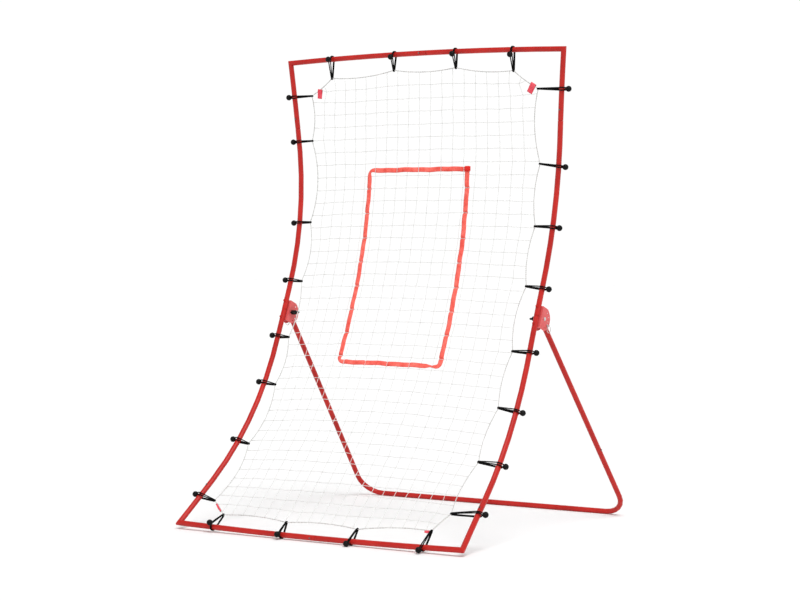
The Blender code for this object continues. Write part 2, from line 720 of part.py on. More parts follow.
# ---- Bungees ------------------------------------------------------------------------------------
def bungee(name, tube_point, tip, front, pull, swing):
    """Ball with a cord loop that goes round the tube and through to the border cord at its tip.
    A ball that stands in front of the tube has its front strand straight to the tip."""
    out = (tube_point - tip).normalized()
    front = (front - out * front.dot(out)).normalized()
    swing = clear_of_ground(swing, tube_point, out, front)

    def polar(radius, degrees):
        turn = math.radians(degrees)
        return tube_point + out * (radius * math.cos(turn)) + front * (radius * math.sin(turn))

    def round_tip(degrees):
        turn = math.radians(degrees)
        return tip + pull * (TIP_R * math.cos(turn)) + front * (TIP_R * math.sin(turn))
    ball = polar(BALL_OUT, swing)
    spine = (ball - tube_point).normalized()
    flank = (polar(BALL_OUT, swing + 90) - tube_point).normalized()
    meets = math.degrees(math.asin(BALL_FLANK / BALL_OUT)) + CORD_MEETS
    path = [ball + flank * BALL_FLANK]
    if swing + meets < CORD_LEAVES:
        path += [polar(LOOP_R, angle) for angle in wrap_angles(swing + meets, CORD_LEAVES)]
    path += [round_tip(angle) for angle in TIP_TURN]
    path += [polar(LOOP_R, angle) for angle in wrap_angles(-CORD_LEAVES, swing - meets)]
    path.append(ball - flank * BALL_FLANK)
    obj = sweep(path, BUNGEE_R, 1, cyclic=True)
    bpy.ops.mesh.primitive_uv_sphere_add(segments=8, ring_count=6, radius=BALL_R)
    boolean(obj, place(bpy.context.object, ball, aim_z(spine)), "UNION")
    return finish_node(obj, name, "black_rubber")


def wrap_angles(first, last):
    """Angles round the tube, no more than WRAP_STEP apart."""
    return spread(first, last, max(1, math.ceil(abs(last - first) / WRAP_STEP)))


def clear_of_ground(swing, tube_point, out, front):
    """The first angle from swing, in degrees to the front, at which a ball is above the ground."""
    for degrees in range(swing, 180):
        turn = math.radians(degrees)
        spine = out * math.cos(turn) + front * math.sin(turn)
        if tube_point.z + spine.z * BALL_OUT > BALL_R:
            return degrees
    return swing


# ---- Assembly -----------------------------------------------------------------------------------
def build():
    tubes = {}
    for label, side in SIDES:
        tubes["top", side] = corner_tube("top_bar_" + label, side, RAIL_TOP_SEAM, RAIL_LENGTH,
                                         top_bar_point, TOP_SEAM_X)
        tubes["bottom", side] = corner_tube("bottom_bar_" + label, side, RAIL_LOW_SEAM, 0.0,
                                            bottom_bar_point, BOTTOM_SEAM_X)
        tubes["upper", side] = upper_rail("rail_upper_" + label, side)
        tubes["lower", side] = lower_rail("rail_lower_" + label, side)
        tubes["leg", side] = leg("leg_" + label, side)
        tubes["foot", side] = foot("foot_bar_" + label, side)
        bracket("bracket_" + label, side)
        bracket_bolt("bracket_bolt_upper_" + label, side, 1)
        bracket_bolt("bracket_bolt_lower_" + label, side, -1)
        pivot_bolt("pivot_bolt_" + label, side)
        wing_knob("wing_knob_" + label, side)
        lock_pin("lock_pin_" + label, side)

    forward = Vector((0, -1, 0))
    snap_button("snap_button_top", top_bar_point(TOP_BUTTON_X), ACROSS, forward,
                (tubes["top", -1], tubes["top", 1]))
    snap_button("snap_button_bottom", bottom_bar_point(BOTTOM_BUTTON_X), ACROSS, forward,
                (tubes["bottom", -1], tubes["bottom", 1]))
    snap_button("snap_button_rear", rear_bar_point(REAR_BUTTON_X), ACROSS, forward,
                (tubes["foot", -1], tubes["foot", 1]))
    for label, side in SIDES:
        high = rail_point(side, RAIL_TOP_BUTTON)
        leaf_end = rail_point(side, RAIL_TOP_BUTTON - LEAF_REACH)
        snap_button("snap_button_upper_" + label, high, leaf_end - high,
                    front_normal(RAIL_TOP_BUTTON), (tubes["top", side], tubes["upper", side]))
        low = rail_point(side, RAIL_LOW_BUTTON)
        leaf_end = rail_point(side, RAIL_LOW_BUTTON + LEAF_REACH)
        snap_button("snap_button_lower_" + label, low, leaf_end - low,
                    front_normal(RAIL_LOW_BUTTON), (tubes["bottom", side], tubes["lower", side]))
        snap_button("snap_button_leg_" + label, leg_point(side, LEG_BUTTON),
                    leg_point(side, LEG_SEAM) - leg_point(side, LEG_BUTTON), Vector((side, 0, 0)),
                    (tubes["leg", side], tubes["foot", side]))

    net_panel("net_mesh")
    border_cord("border_cord")
    strike_zone("strike_zone_ribbon")
    side_swings = [SIDE_SWING] * len(LEFT_HOOKS)
    hooks = (("left", [rail_point(-1, s) for s in LEFT_HOOKS], LEFT_TIPS, side_swings),
             ("right", [rail_point(1, s) for s in RIGHT_HOOKS], RIGHT_TIPS, side_swings),
             ("top", [top_bar_point(x) for x in TOP_HOOKS], TOP_TIPS, TOP_SWINGS),
             ("bottom", [bottom_bar_point(x) for x in BOTTOM_HOOKS], BOTTOM_TIPS, BOTTOM_SWINGS))
    for label, points, tips, swings in hooks:
        for number, (point, tip, swing) in enumerate(zip(points, tips, swings), start=1):
            bungee(f"bungee_{label}_{number}", point, net_surface(*tip), front_normal(tip[1]),
                   pull_direction(tip), swing)


build()
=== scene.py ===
"""Looks of the pitching target net: knotted net, woven ribbon, sewn tags, ball bungees and finishes."""
import math
import random

import bmesh
import bpy
import numpy as np
from mathutils import Matrix, Vector


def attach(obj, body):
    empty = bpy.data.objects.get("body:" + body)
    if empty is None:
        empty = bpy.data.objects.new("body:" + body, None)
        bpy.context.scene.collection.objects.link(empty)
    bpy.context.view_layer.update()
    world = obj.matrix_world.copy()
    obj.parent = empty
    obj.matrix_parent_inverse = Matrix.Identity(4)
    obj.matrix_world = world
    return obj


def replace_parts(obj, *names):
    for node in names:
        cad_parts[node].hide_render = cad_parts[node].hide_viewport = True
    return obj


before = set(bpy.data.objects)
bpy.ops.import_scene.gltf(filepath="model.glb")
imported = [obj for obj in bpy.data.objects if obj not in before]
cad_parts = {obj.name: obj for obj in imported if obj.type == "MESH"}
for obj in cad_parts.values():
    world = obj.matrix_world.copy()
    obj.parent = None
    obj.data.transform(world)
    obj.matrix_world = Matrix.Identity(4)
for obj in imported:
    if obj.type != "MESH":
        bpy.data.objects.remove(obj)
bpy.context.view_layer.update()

# ---- Frame, hooks and border, in metres: the CAD's own values ------------------------------------
HALF_WIDTH = 0.6055         # of the frame at its corners
RAIL_PULL = 0.047           # the net pulls each side rail inwards by this at mid height
TOP_RISE = 0.0125           # the middle of the top bar stands this much above its ends
CORNER_LIFT = 0.008         # the front corners stand this much above the middle of the bottom bar
FRONT_Y = -0.5920           # bottom bar
FRONT_Z = 0.0149
RAIL_LEAN = math.radians(50.7)
BEND_R = 1.24               # of both bends in a rail
RAIL_LENGTH = 1.968
# Length and curvature of each stretch of a rail, from the bottom corner up
RUNS = ((0.22, 0.0), (0.62, 1 / BEND_R), (0.26, 0.0), (0.56, 1 / BEND_R), (RAIL_LENGTH, 0.0))

# Hooks on the tubes: lengths along a rail, or x on an end bar. Tips on the border: (x, length along rails)
LEFT_HOOKS = (0.14, 0.42, 0.68, 0.875, 1.105, 1.34, 1.66, 1.835)
RIGHT_HOOKS = (0.165, 0.39, 0.615, 0.845, 1.09, 1.32, 1.545, 1.825)
TOP_HOOKS = (-0.408, -0.122, 0.150, 0.394)
BOTTOM_HOOKS = (-0.448, -0.144, 0.154, 0.449)
LEFT_TIPS = ((-0.517, 0.123), (-0.521, 0.410), (-0.511, 0.675), (-0.508, 0.872),
             (-0.509, 1.103), (-0.514, 1.342), (-0.518, 1.662), (-0.511, 1.837))
RIGHT_TIPS = ((0.488, 0.158), (0.490, 0.399), (0.490, 0.626), (0.490, 0.847),
              (0.492, 1.097), (0.491, 1.325), (0.497, 1.555), (0.496, 1.829))
TOP_TIPS = ((-0.412, 1.902), (-0.126, 1.921), (0.149, 1.920), (0.395, 1.899))
BOTTOM_TIPS = ((-0.437, 0.057), (-0.149, 0.049), (0.156, 0.048), (0.449, 0.072))
TOP_SWINGS = (90, 108, 108, 128)        # degrees of each ball round its bar, from outwards to the front
BOTTOM_SWINGS = (84, 55, 30, 30)
SCALLOP_SIDE = 0.075        # depth of the border's curves between tips, as a share of their chord
SCALLOP_END = 0.040
SCALLOP_CORNER = 0.030
BALL_R = 0.011
BALL_OUT = 0.028            # ball centre from the tube's centre
RIBBON_W = 0.019

# ---- Border and net: what the CAD's plain sheet and cord leave out -------------------------------
PLY_R = 0.00135             # the border cord has two plies, laid round each other
PLY_OFFSET = 0.0010
PLY_PITCH = 0.016
NET_COLUMNS = 20            # cells across
NET_ROWS = 39               # cells up
NET_X = (-0.498, 0.476)     # the outermost strands' ends on the top and bottom of the border
ROW_BOW = 0.026             # rows are tied to the sides up to this much lower than evenly spaced
PULL_ACROSS = 2.0           # pulls of the strands, one against the other
PULL_UPRIGHT = 1.0
STRAND_R = 0.0010
STRAND_SLACK = 0.0009       # how far a strand strays between two knots
KNOT_R = 0.0019
KNOT_HALF = 0.0023          # half of a knot's length
KNOT_STRAY = 0.0015         # how far a knot strays from its balanced place
FOOT_STEPS = 12             # steps that find a crossing's foot on the rails' surface

# ---- Bungees: these cords lie closer to the tube than the CAD's ----------------------------------
CORD_R = 0.0022
LOOP_R = 0.0124             # cord centre from the tube's centre
STRAND_GAP = 0.0019         # each half of the loop stands this far from its middle
CORD_LEAN = 0.002           # most that a loop's turn round the tube slides along it
CORD_OPENING = (0.0032, 0.0050)         # least and most spread of the returning cord
LOOP_START = 62             # degrees behind the ball where the cord meets the tube
LOOP_END = -100             # degrees round the tube where it leaves it
LOOP_STEPS = 7
FRONT_SWING = 25            # balls below this many degrees have the returning cord over the tube's front
FRONT_RUN = ((0.0006, 96), (0.0006, 74), (0.0030, 50))      # its height over the loop, and degrees
TIP_TURN = ((0.004, -0.0042, 0.9), (-0.004, -0.0016, 0.8),  # the cord's turn round the border:
            (-0.004, 0.0016, 0.8), (0.004, 0.0042, 0.9))    # outwards, to the front, share of the gap
NECK = 0.72                 # where the cord enters the ball, as a share of its radius
NECK_FLANK = 0.0030         # the returning cord meets the neck from this far beside it
NECK_END = (0.0008, 0.0012)             # and ends this far under it and past its middle
DIMPLE = (0.28, 0.6)        # depth and radius of the ball's mouth, as shares of its radius
SEAM = 1.012                # growth of the ball at its parting line

# ---- Ribbon and tags: placed on the slack net, so these are not the CAD's values -----------------
RIBBON_TOP_LEFT = Vector((-0.2295, 1.540))
RIBBON_TOP_RIGHT = Vector((0.2040, 1.540))
RIBBON_LOW_RIGHT = Vector((0.2150, 0.765))
RIBBON_LOW_LEFT = Vector((-0.2295, 0.770))
RIBBON_THICK = 0.0007
RIBBON_BEND = 0.020         # rounding of the corners
RIBBON_STEP = 0.0035        # spacing of the tape's cross-sections
RIBBON_OVER = RIBBON_W * 0.6            # each end passes the overlapped corner by this
RIBBON_LANES = (-0.5, -0.25, 0.0, 0.25, 0.5)                # points across the tape, as shares of it
RIBBON_FOLDS = (            # place, depth and reach of the stretches that are folded narrow
    (RIBBON_TOP_LEFT, 0.42, 0.016),
    (RIBBON_LOW_LEFT, 0.42, 0.014),
    (RIBBON_LOW_RIGHT - Vector((0.033, 0)), 0.60, 0.017),
)
FOLD_TILT = 0.006           # how much a folded stretch stands on edge
RIBBON_WAVES = ((0.0008, 37, 1), (0.0006, 83, 0))           # size, rate and phase of its wander
RIBBON_LIFT = 0.0034        # height over the net between the strands that it passes behind
RIBBON_CROWN = 0.0009       # extra height of its middle there
DIP_DEPTH = 0.0054          # how far it goes down to pass behind a strand
DIP_REACH = 0.0036
OVERLAP_RISE = 0.0010       # its end climbs this much, to lie on its start
OVERLAP_RUN = 0.04
PATCH_SIZE = (0.0245, 0.0185)
PATCH_SHIFT = Vector((0.003, 0))        # from the overlapped corner
PATCH_SKEW = 0.001
PATCH_LIFT = 0.0072
PATCH_PILLOW = 0.0008
TAG_R = 0.0034              # radius of a tag's fold round the border cord
TAG_FOLD = 0.22             # share of a tag's section that lies round the cord
TAG_THICK = 0.0006
TAG_RIPPLE = 0.0006

# ---- Stage ---------------------------------------------------------------------------------------
FLOOR_HALF = 30.0
WALL_HEIGHTS = (0.14, 0.70)             # sines of the elevations between which the walls dim
WALL_STRENGTHS = (1.02, 0.30)
SOFTBOX_SPREAD = math.radians(40)
SOFTBOX_STRENGTH = 2.45
SOFTBOX_DIRECTION = Vector((-0.42, 0.36, -1.0))
CAMERA_PLACE = (4.2276, -6.5566, 1.0956)
CAMERA_TILT = math.radians(88.07)
CAMERA_TURN = math.radians(32.98)
CAMERA_LENS = 94.257
CAMERA_SENSOR = 36.0
VIEW_DEPTH = 200.0


# ---- The curved surface that the rails lie on ----------------------------------------------------
def rail_profile(s):
    """Place (y, z) and lean of the rails at length s from the front corner."""
    y, z, lean, left = FRONT_Y, FRONT_Z, RAIL_LEAN, s
    for length, curvature in RUNS:
        run = min(left, length)
        if curvature:
            turned = lean - run * curvature
            y += (math.cos(turned) - math.cos(lean)) / curvature
            z += (math.sin(lean) - math.sin(turned)) / curvature
            lean = turned
        else:
            y += run * math.sin(lean)
            z += run * math.cos(lean)
        left -= run
        if left <= 0:
            break
    return y, z + CORNER_LIFT * (1 - s / RAIL_LENGTH), lean


def surface(x, s, lift=0.0):
    """A point of the rails' surface, or one that stands in front of it by lift."""
    y, z, lean = rail_profile(s)
    return Vector((x, y - math.cos(lean) * lift, z + math.sin(lean) * lift))


def front_normal(s):
    """The surface's direction towards the pitcher."""
    lean = rail_profile(s)[2]
    return Vector((0, -math.cos(lean), math.sin(lean)))


def up_tangent(s):
    """The surface's direction up along the rails."""
    lean = rail_profile(s)[2]
    return Vector((0, math.sin(lean), math.cos(lean)))


def rail_point(side, s):
    share = s / RAIL_LENGTH
    return surface(side * (HALF_WIDTH - RAIL_PULL * 4 * share * (1 - share)), s)


def top_bar_point(x):
    return surface(x, RAIL_LENGTH) + Vector((0, 0, TOP_RISE * (1 - (x / HALF_WIDTH) ** 2)))


def bottom_bar_point(x):
    return surface(x, 0.0) - Vector((0, 0, CORNER_LIFT * (1 - (x / HALF_WIDTH) ** 2)))


# ---- Materials -----------------------------------------------------------------------------------
class Nodes:
    """A small builder for procedural Principled materials."""

    def __init__(self, name, **sockets):
        self.material = bpy.data.materials.new(name)
        self.material.use_nodes = True
        self.tree = self.material.node_tree
        self.shader = self.tree.nodes["Principled BSDF"]
        for key, value in sockets.items():
            self.shader.inputs[key.replace("_", " ")].default_value = value
        self.place = self.add("ShaderNodeTexCoord").outputs["Object"]

    def add(self, kind, **settings):
        node = self.tree.nodes.new(kind)
        for key, value in settings.items():
            setattr(node, key, value)
        return node

    def link(self, source, target):
        self.tree.links.new(source, target)

    def noise(self, scale, detail=4.0, rough=0.5):
        node = self.add("ShaderNodeTexNoise")
        node.inputs["Scale"].default_value = scale
        node.inputs["Detail"].default_value = detail
        node.inputs["Roughness"].default_value = rough
        self.link(self.place, node.inputs["Vector"])
        return node.outputs["Fac"]

    def wave(self, direction, scale):
        node = self.add("ShaderNodeTexWave", bands_direction=direction)
        node.inputs["Scale"].default_value = scale
        node.inputs["Distortion"].default_value = 0.4
        self.link(self.place, node.inputs["Vector"])
        return node.outputs["Fac"]

    def color(self, source, *stops):
        node = self.add("ShaderNodeValToRGB")
        elements = node.color_ramp.elements
        while len(elements) < len(stops):
            elements.new(0.5)
        for element, (at, color) in zip(elements, stops):
            element.position = at
            element.color = (*color, 1.0)
        self.link(source, node.inputs["Fac"])
        self.link(node.outputs["Color"], self.shader.inputs["Base Color"])

    def rough(self, source, low, high):
        node = self.add("ShaderNodeMapRange")
        node.inputs["To Min"].default_value = low
        node.inputs["To Max"].default_value = high
        self.link(source, node.inputs["Value"])
        self.link(node.outputs["Result"], self.shader.inputs["Roughness"])

    def bump(self, source, strength, distance):
        node = self.add("ShaderNodeBump")
        node.inputs["Strength"].default_value = strength
        node.inputs["Distance"].default_value = distance
        self.link(source, node.inputs["Height"])
        self.link(node.outputs["Normal"], self.shader.inputs["Normal"])


def powder_coat(name, dark, plain, light):
    """Powder coat: fine orange peel, faint cloudiness and slightly duller patches."""
    made = Nodes(name, Specular_IOR_Level=0.25)
    made.color(made.noise(9.0, 5.0, 0.6), (0.30, dark), (0.50, plain), (0.78, light))
    made.rough(made.noise(26.0, 3.0), 0.28, 0.46)
    made.bump(made.noise(1400.0, 2.0), 0.10, 0.0004)
    return made.material


def zinc(name, dark, light):
    """Zinc plate with crystalline clouding."""
    made = Nodes(name, Metallic=1.0)
    made.color(made.noise(160.0), (0.25, dark), (0.75, light))
    made.rough(made.noise(420.0, 3.0), 0.22, 0.42)
    made.bump(made.noise(900.0, 2.0), 0.08, 0.0003)
    return made.material


def black_plastic(name, scuffs):
    """Moulded black plastic with scuffs; the greater the number, the finer they are."""
    made = Nodes(name, Specular_IOR_Level=0.10)
    black, worn = (0.003, 0.003, 0.003), (0.011, 0.011, 0.011)
    made.color(made.noise(scuffs, 6.0, 0.7), (0.35, black), (0.85, worn))
    made.rough(made.noise(500.0, 3.0), 0.32, 0.52)
    made.bump(made.noise(2400.0, 2.0), 0.10, 0.0002)
    return made.material


def elastic_cord(name):
    """Braided black cover of the elastic cord."""
    made = Nodes(name, Specular_IOR_Level=0.04, Roughness=0.8)
    black, fluff = (0.002, 0.002, 0.002), (0.010, 0.010, 0.010)
    made.color(made.noise(1500.0, 3.0, 0.6), (0.3, black), (0.8, fluff))
    made.bump(made.noise(1100.0, 2.0), 0.5, 0.0006)
    return made.material


def white_cord(name, grey, white):
    """Twisted white cord with fibres and slight greying."""
    made = Nodes(name, Specular_IOR_Level=0.15, Roughness=0.82)
    made.color(made.noise(40.0, 5.0, 0.6), (0.25, grey), (0.70, white))
    made.bump(made.noise(1300.0, 3.0), 0.6, 0.0006)
    return made.material


def woven_tape(name, dark, plain, light):
    """Woven tape: fine rib across and along, and slight fading."""
    made = Nodes(name, Specular_IOR_Level=0.2, Roughness=0.62, Sheen_Weight=0.10, Sheen_Roughness=0.45)
    made.color(made.noise(45.0, 6.0, 0.65), (0.32, dark), (0.52, plain), (0.74, light))
    weave = made.add("ShaderNodeMath", operation="MULTIPLY")
    made.link(made.wave("X", 260.0), weave.inputs[0])
    made.link(made.wave("Z", 340.0), weave.inputs[1])
    made.bump(weave.outputs["Value"], 0.45, 0.0004)
    return made.material


FINISH = {
    "coat": powder_coat("powder_coat_red", (0.385, 0.010, 0.007), (0.460, 0.014, 0.010),
                        (0.530, 0.022, 0.015)),
    "bracket": powder_coat("powder_coat_bracket", (0.560, 0.070, 0.070), (0.670, 0.100, 0.100),
                           (0.700, 0.140, 0.140)),
    "zinc": zinc("zinc_plate", (0.50, 0.50, 0.49), (0.80, 0.80, 0.79)),
    "button": zinc("dark_button", (0.12, 0.11, 0.11), (0.24, 0.23, 0.22)),
    "plastic": black_plastic("knob_plastic", 60.0),
    "ball": black_plastic("ball_plastic", 120.0),
    "elastic": elastic_cord("elastic_cover"),
    "net": white_cord("net_cord", (0.62, 0.62, 0.605), (0.76, 0.76, 0.745)),
    "border": white_cord("border_cord", (0.50, 0.50, 0.485), (0.66, 0.66, 0.645)),
    "ribbon": woven_tape("ribbon_weave", (0.720, 0.070, 0.050), (0.880, 0.130, 0.100), (0.940, 0.210, 0.170)),
    "patch": woven_tape("ribbon_patch", (0.560, 0.010, 0.006), (0.700, 0.014, 0.008), (0.760, 0.030, 0.020)),
    "tag": woven_tape("tag_weave", (0.700, 0.050, 0.080), (0.800, 0.070, 0.105), (0.860, 0.140, 0.170)),
}

CAD_FINISH = (
    (("top_bar", "bottom_bar", "rail_", "leg_", "foot_bar", "bracket_bolt"), "coat"),
    (("bracket_left", "bracket_right"), "bracket"),
    (("pivot_bolt", "lock_pin"), "zinc"),
    (("snap_button",), "button"),
    (("wing_knob",), "plastic"),
)


def finish_cad():
    """Give the CAD parts that stay visible their finishes."""
    for prefixes, key in CAD_FINISH:
        for name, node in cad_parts.items():
            if name.startswith(prefixes):
                for slot in node.material_slots:
                    slot.material = FINISH[key]


# ---- Mesh helpers --------------------------------------------------------------------------------
class Shape:
    """Gathers the parts of one mesh."""

    def __init__(self):
        self.verts = []
        self.faces = []

    def add(self, verts, faces):
        base = len(self.verts)
        self.verts += [tuple(vert) for vert in verts]
        self.faces += [tuple(base + index for index in face) for face in faces]

    def piece(self, name, finish):
        """Make the mesh a named piece that moves with the frame."""
        mesh = bpy.data.meshes.new(name)
        mesh.from_pydata(self.verts, [], self.faces)
        mesh.materials.append(FINISH[finish])
        mesh.shade_smooth()
        obj = bpy.data.objects.new(name, mesh)
        bpy.context.scene.collection.objects.link(obj)
        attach(obj, "frame")
        return obj


def tube(points, radius, sides, closed=False):
    """A round tube along points; radius is one number, or one for each point."""
    count = len(points)
    radii = radius if isinstance(radius, (list, tuple)) else [radius] * count
    normal = None
    verts, faces = [], []
    for index, point in enumerate(points):
        before = points[index - 1] if closed or index else point
        after = points[(index + 1) % count] if closed or index < count - 1 else point
        tangent = (after - before).normalized()
        normal = normal or tangent.orthogonal()
        normal = (normal - tangent * normal.dot(tangent)).normalized()
        side = tangent.cross(normal)
        for step in range(sides):
            turn = math.tau * step / sides
            verts.append(point + (normal * math.cos(turn) + side * math.sin(turn)) * radii[index])
    for index in range(count if closed else count - 1):
        low, high = index * sides, (index + 1) % count * sides
        for step in range(sides):
            onward = (step + 1) % sides
            faces.append((low + step, low + onward, high + onward, high + step))
    if not closed:
        faces.append(tuple(range(sides))[::-1])
        faces.append(tuple(range((count - 1) * sides, count * sides)))
    return verts, faces


def smooth(points, passes):
    """Corner cutting that keeps both ends."""
    for _ in range(passes):
        cut = [points[0]]
        for start, end in zip(points, points[1:]):
            cut += [start.lerp(end, 0.25), start.lerp(end, 0.75)]
        points = cut + [points[-1]]
    return points


# ---- The net's border ----------------------------------------------------------------------------
def border_outline(segments):
    """The border's points (x, s), anticlockwise: the tips joined by scallops."""
    sides = (BOTTOM_TIPS, RIGHT_TIPS, TOP_TIPS[::-1], LEFT_TIPS[::-1])
    bows = (SCALLOP_END, SCALLOP_SIDE, SCALLOP_END, SCALLOP_SIDE)
    tips, bow_of = [], []
    for side, bow in zip(sides, bows):
        tips += [Vector(tip) for tip in side]
        bow_of += [bow] * (len(side) - 1) + [SCALLOP_CORNER]
    outline = []
    for index, start in enumerate(tips):
        chord = tips[(index + 1) % len(tips)] - start
        inward = Vector((-chord.y, chord.x))
        for step in range(segments):
            share = step / segments
            outline.append(start + chord * share + inward * (bow_of[index] * 4 * share * (1 - share)))
    return outline


OUTLINE = border_outline(16)


def crossing(axis, value, last):
    """Where the border crosses x = value (axis 0) or s = value (axis 1), first or last."""
    found = []
    for index, point in enumerate(OUTLINE):
        onward = OUTLINE[(index + 1) % len(OUTLINE)]
        if (point[axis] - value) * (onward[axis] - value) <= 0 and point[axis] != onward[axis]:
            share = (value - point[axis]) / (onward[axis] - point[axis])
            found.append(point[1 - axis] + (onward[1 - axis] - point[1 - axis]) * share)
    return max(found) if last else min(found)


def build_border():
    """Two plies laid round each other, in scallops from hook to hook."""
    path = [surface(point.x, point.y) for point in border_outline(30)]
    plies = ([], [])
    travelled = 0.0
    for index, point in enumerate(path):
        onward = path[(index + 1) % len(path)]
        tangent = (onward - path[index - 1]).normalized()
        normal = Vector((0, -0.8, 0.6))
        normal = (normal - tangent * normal.dot(tangent)).normalized()
        side = tangent.cross(normal)
        for ply, shift in zip(plies, (0.0, math.pi)):
            turn = travelled / PLY_PITCH * math.tau + shift
            ply.append(point + (normal * math.cos(turn) + side * math.sin(turn)) * PLY_OFFSET)
        travelled += (onward - point).length
    shape = Shape()
    for ply in plies:
        shape.add(*tube(ply, PLY_R, 6, closed=True))
    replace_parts(shape.piece("border_rope", "border"), "border_cord")


# ---- The net: a web of strands whose pulls are in balance -----------------------------------------
def balance_pulls(grid):
    """Move the inner crossings to where the pulls of their four strands cancel."""
    rows, columns = grid.shape[:2]
    inner = {(row, column): number for number, (row, column) in enumerate(
        (row, column) for row in range(1, rows - 1) for column in range(1, columns - 1))}
    pulls = np.zeros((len(inner), len(inner)))
    held = np.zeros((len(inner), 3))
    for (row, column), number in inner.items():
        for row_step, column_step, tension in ((0, -1, PULL_ACROSS), (0, 1, PULL_ACROSS),
                                               (-1, 0, PULL_UPRIGHT), (1, 0, PULL_UPRIGHT)):
            pulls[number, number] += tension
            neighbour = (row + row_step, column + column_step)
            if neighbour in inner:
                pulls[number, inner[neighbour]] -= tension
            else:
                held[number] += tension * grid[neighbour]
    for place, point in zip(inner, np.linalg.solve(pulls, held)):
        grid[place] = point


def net_grid():
    """The net's crossings in space: tied to the border, balanced, then made slightly uneven."""
    grid = np.zeros((NET_ROWS + 1, NET_COLUMNS + 1, 3))
    middle = (NET_X[0] + NET_X[1]) / 2
    low, high = crossing(0, middle, False), crossing(0, middle, True)
    for column in range(NET_COLUMNS + 1):
        x = NET_X[0] + (NET_X[1] - NET_X[0]) * column / NET_COLUMNS
        grid[0, column] = surface(x, crossing(0, x, False))
        grid[-1, column] = surface(x, crossing(0, x, True))
    for row in range(1, NET_ROWS):
        s = low + (high - low) * row / NET_ROWS - ROW_BOW * math.sin(math.pi * row / NET_ROWS)
        grid[row, 0] = surface(crossing(1, s, False), s)
        grid[row, -1] = surface(crossing(1, s, True), s)
    balance_pulls(grid)
    stray = np.random.default_rng(7).uniform(-KNOT_STRAY, KNOT_STRAY, grid[1:-1, 1:-1].shape)
    grid[1:-1, 1:-1] += stray
    return grid


def crossing_places(grid):
    """Each crossing as (x, s, lift): its foot on the rails' surface, and how far in front it stands."""
    places = np.zeros(grid.shape)
    for index in np.ndindex(grid.shape[:2]):
        point = Vector(grid[index])
        s = RAIL_LENGTH * index[0] / NET_ROWS
        for _ in range(FOOT_STEPS):
            s += (point - surface(point.x, s)).dot(up_tangent(s))
        places[index] = (point.x, s, (point - surface(point.x, s)).dot(front_normal(s)))
    return places


GRID = net_grid()
PLACES = crossing_places(GRID)


def row_levels(x):
    """Length s along the rails of each row, where it passes x."""
    return np.array([np.interp(x, row[:, 0], row[:, 1]) for row in PLACES])


def column_places(s):
    """The x of each upright strand, where it passes s."""
    return np.array([np.interp(s, column[:, 1], column[:, 0]) for column in PLACES.transpose(1, 0, 2)])


def net_position(x, s, lift):
    """A point of the net at (x, s), or one that stands in front of it by lift."""
    lifts = [np.interp(x, row[:, 0], row[:, 2]) for row in PLACES]
    return surface(x, s, float(np.interp(s, row_levels(x), lifts)) + lift)


def build_net():
    """Strands both ways, slack between the knots, and a knot at every crossing."""
    shape = Shape()
    rand = random.Random(11)

    def strand(points):
        path = []
        for start, end in zip(points, points[1:]):
            stray = Vector((rand.uniform(-1, 1), rand.uniform(-1, 1), rand.uniform(-1.6, 0.4)))
            path += [start, start.lerp(end, 0.5) + stray * STRAND_SLACK]
        shape.add(*tube(path + points[-1:], STRAND_R, 6))

    for row in range(1, NET_ROWS):
        strand([Vector(point) for point in GRID[row]])
    for column in range(1, NET_COLUMNS):
        strand([Vector(point) for point in GRID[:, column]])
    for row in range(1, NET_ROWS):
        for column in range(1, NET_COLUMNS):
            centre = Vector(GRID[row, column])
            across = (Vector(GRID[row, column + 1]) - centre).normalized()
            upright = (Vector(GRID[row + 1, column]) - centre).normalized()
            half = (across + upright * rand.choice((-1, 1))).normalized() * KNOT_HALF
            knot = [centre - half, centre - half * 0.5, centre + half * 0.5, centre + half]
            shape.add(*tube(knot, (KNOT_R / 2, KNOT_R, KNOT_R, KNOT_R / 2), 6))
    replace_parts(shape.piece("net_strands", "net"), "net_mesh")


# ---- Ribbon --------------------------------------------------------------------------------------
def straight(start, end, step):
    """Points from just after start up to end, about step apart."""
    count = max(1, round((end - start).length / step))
    return [start.lerp(end, index / count) for index in range(1, count + 1)]


def rounded(corners, radius, step):
    """Points along corners (x, s), with the inner ones rounded."""
    points = [corners[0]]
    for before, corner, after in zip(corners, corners[1:], corners[2:]):
        start = corner + (before - corner).normalized() * radius
        end = corner + (after - corner).normalized() * radius
        points += straight(points[-1], start, step)
        for share in (0.2, 0.4, 0.6, 0.8, 1.0):
            points.append(start.lerp(corner, share).lerp(corner.lerp(end, share), share))
    return points + straight(points[-1], corners[-1], step)


def gap_to_strand(point, along):
    """Distance to the nearest strand that the ribbon passes behind: every second one."""
    if abs(along.y) > abs(along.x):
        return float(np.abs(row_levels(point.x)[::2] - point.y).min())
    return float(np.abs(column_places(point.y)[::2] - point.x).min())


